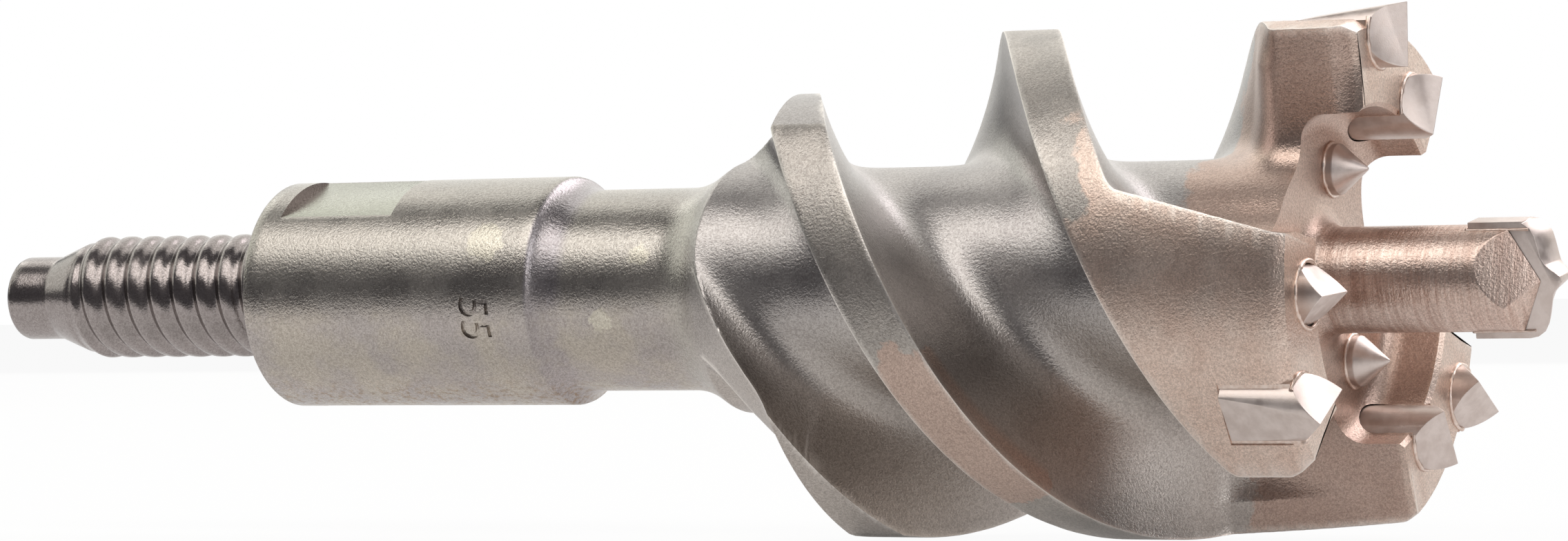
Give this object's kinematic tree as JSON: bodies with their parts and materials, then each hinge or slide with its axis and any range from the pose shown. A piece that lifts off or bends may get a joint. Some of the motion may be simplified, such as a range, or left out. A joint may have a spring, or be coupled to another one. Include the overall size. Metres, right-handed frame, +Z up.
{
  "type": "hammer drill head",
  "caption": "Screw-on hammer drill head with helical flutes, a crown of brazed carbide teeth, a centring pilot, a collar with spanner flats and a rope-thread spigot.",
  "frame": {"origin": "centre of the collar's rear face, which seats on the drill tube", "axes": "+X along the tool's axis towards the pilot's point; +Z up through the first outer tooth"},
  "size_m": [0.1828, 0.052, 0.0535],
  "materials": {
    "steel": "shot-blasted, with a copper heat tint at the crown",
    "carbide": "ground sintered carbide",
    "braze": "dull brazing alloy"
  },
  "bodies": {
    "root": {"drill_body": "steel", "outer_tooth_1": "carbide", "outer_tooth_2": "carbide", "outer_tooth_3": "carbide", "inner_tooth_1": "carbide", "inner_tooth_2": "carbide", "inner_tooth_3": "carbide", "pin_tooth_1": "carbide", "pin_tooth_2": "carbide", "pin_tooth_3": "carbide", "pilot_plate": "carbide", "outer_braze_1": "braze", "outer_braze_2": "braze", "outer_braze_3": "braze", "inner_braze_1": "braze", "inner_braze_2": "braze", "inner_braze_3": "braze", "pin_braze_1": "braze", "pin_braze_2": "braze", "pin_braze_3": "braze", "pilot_braze": "braze"}
  },
  "joints": []
}
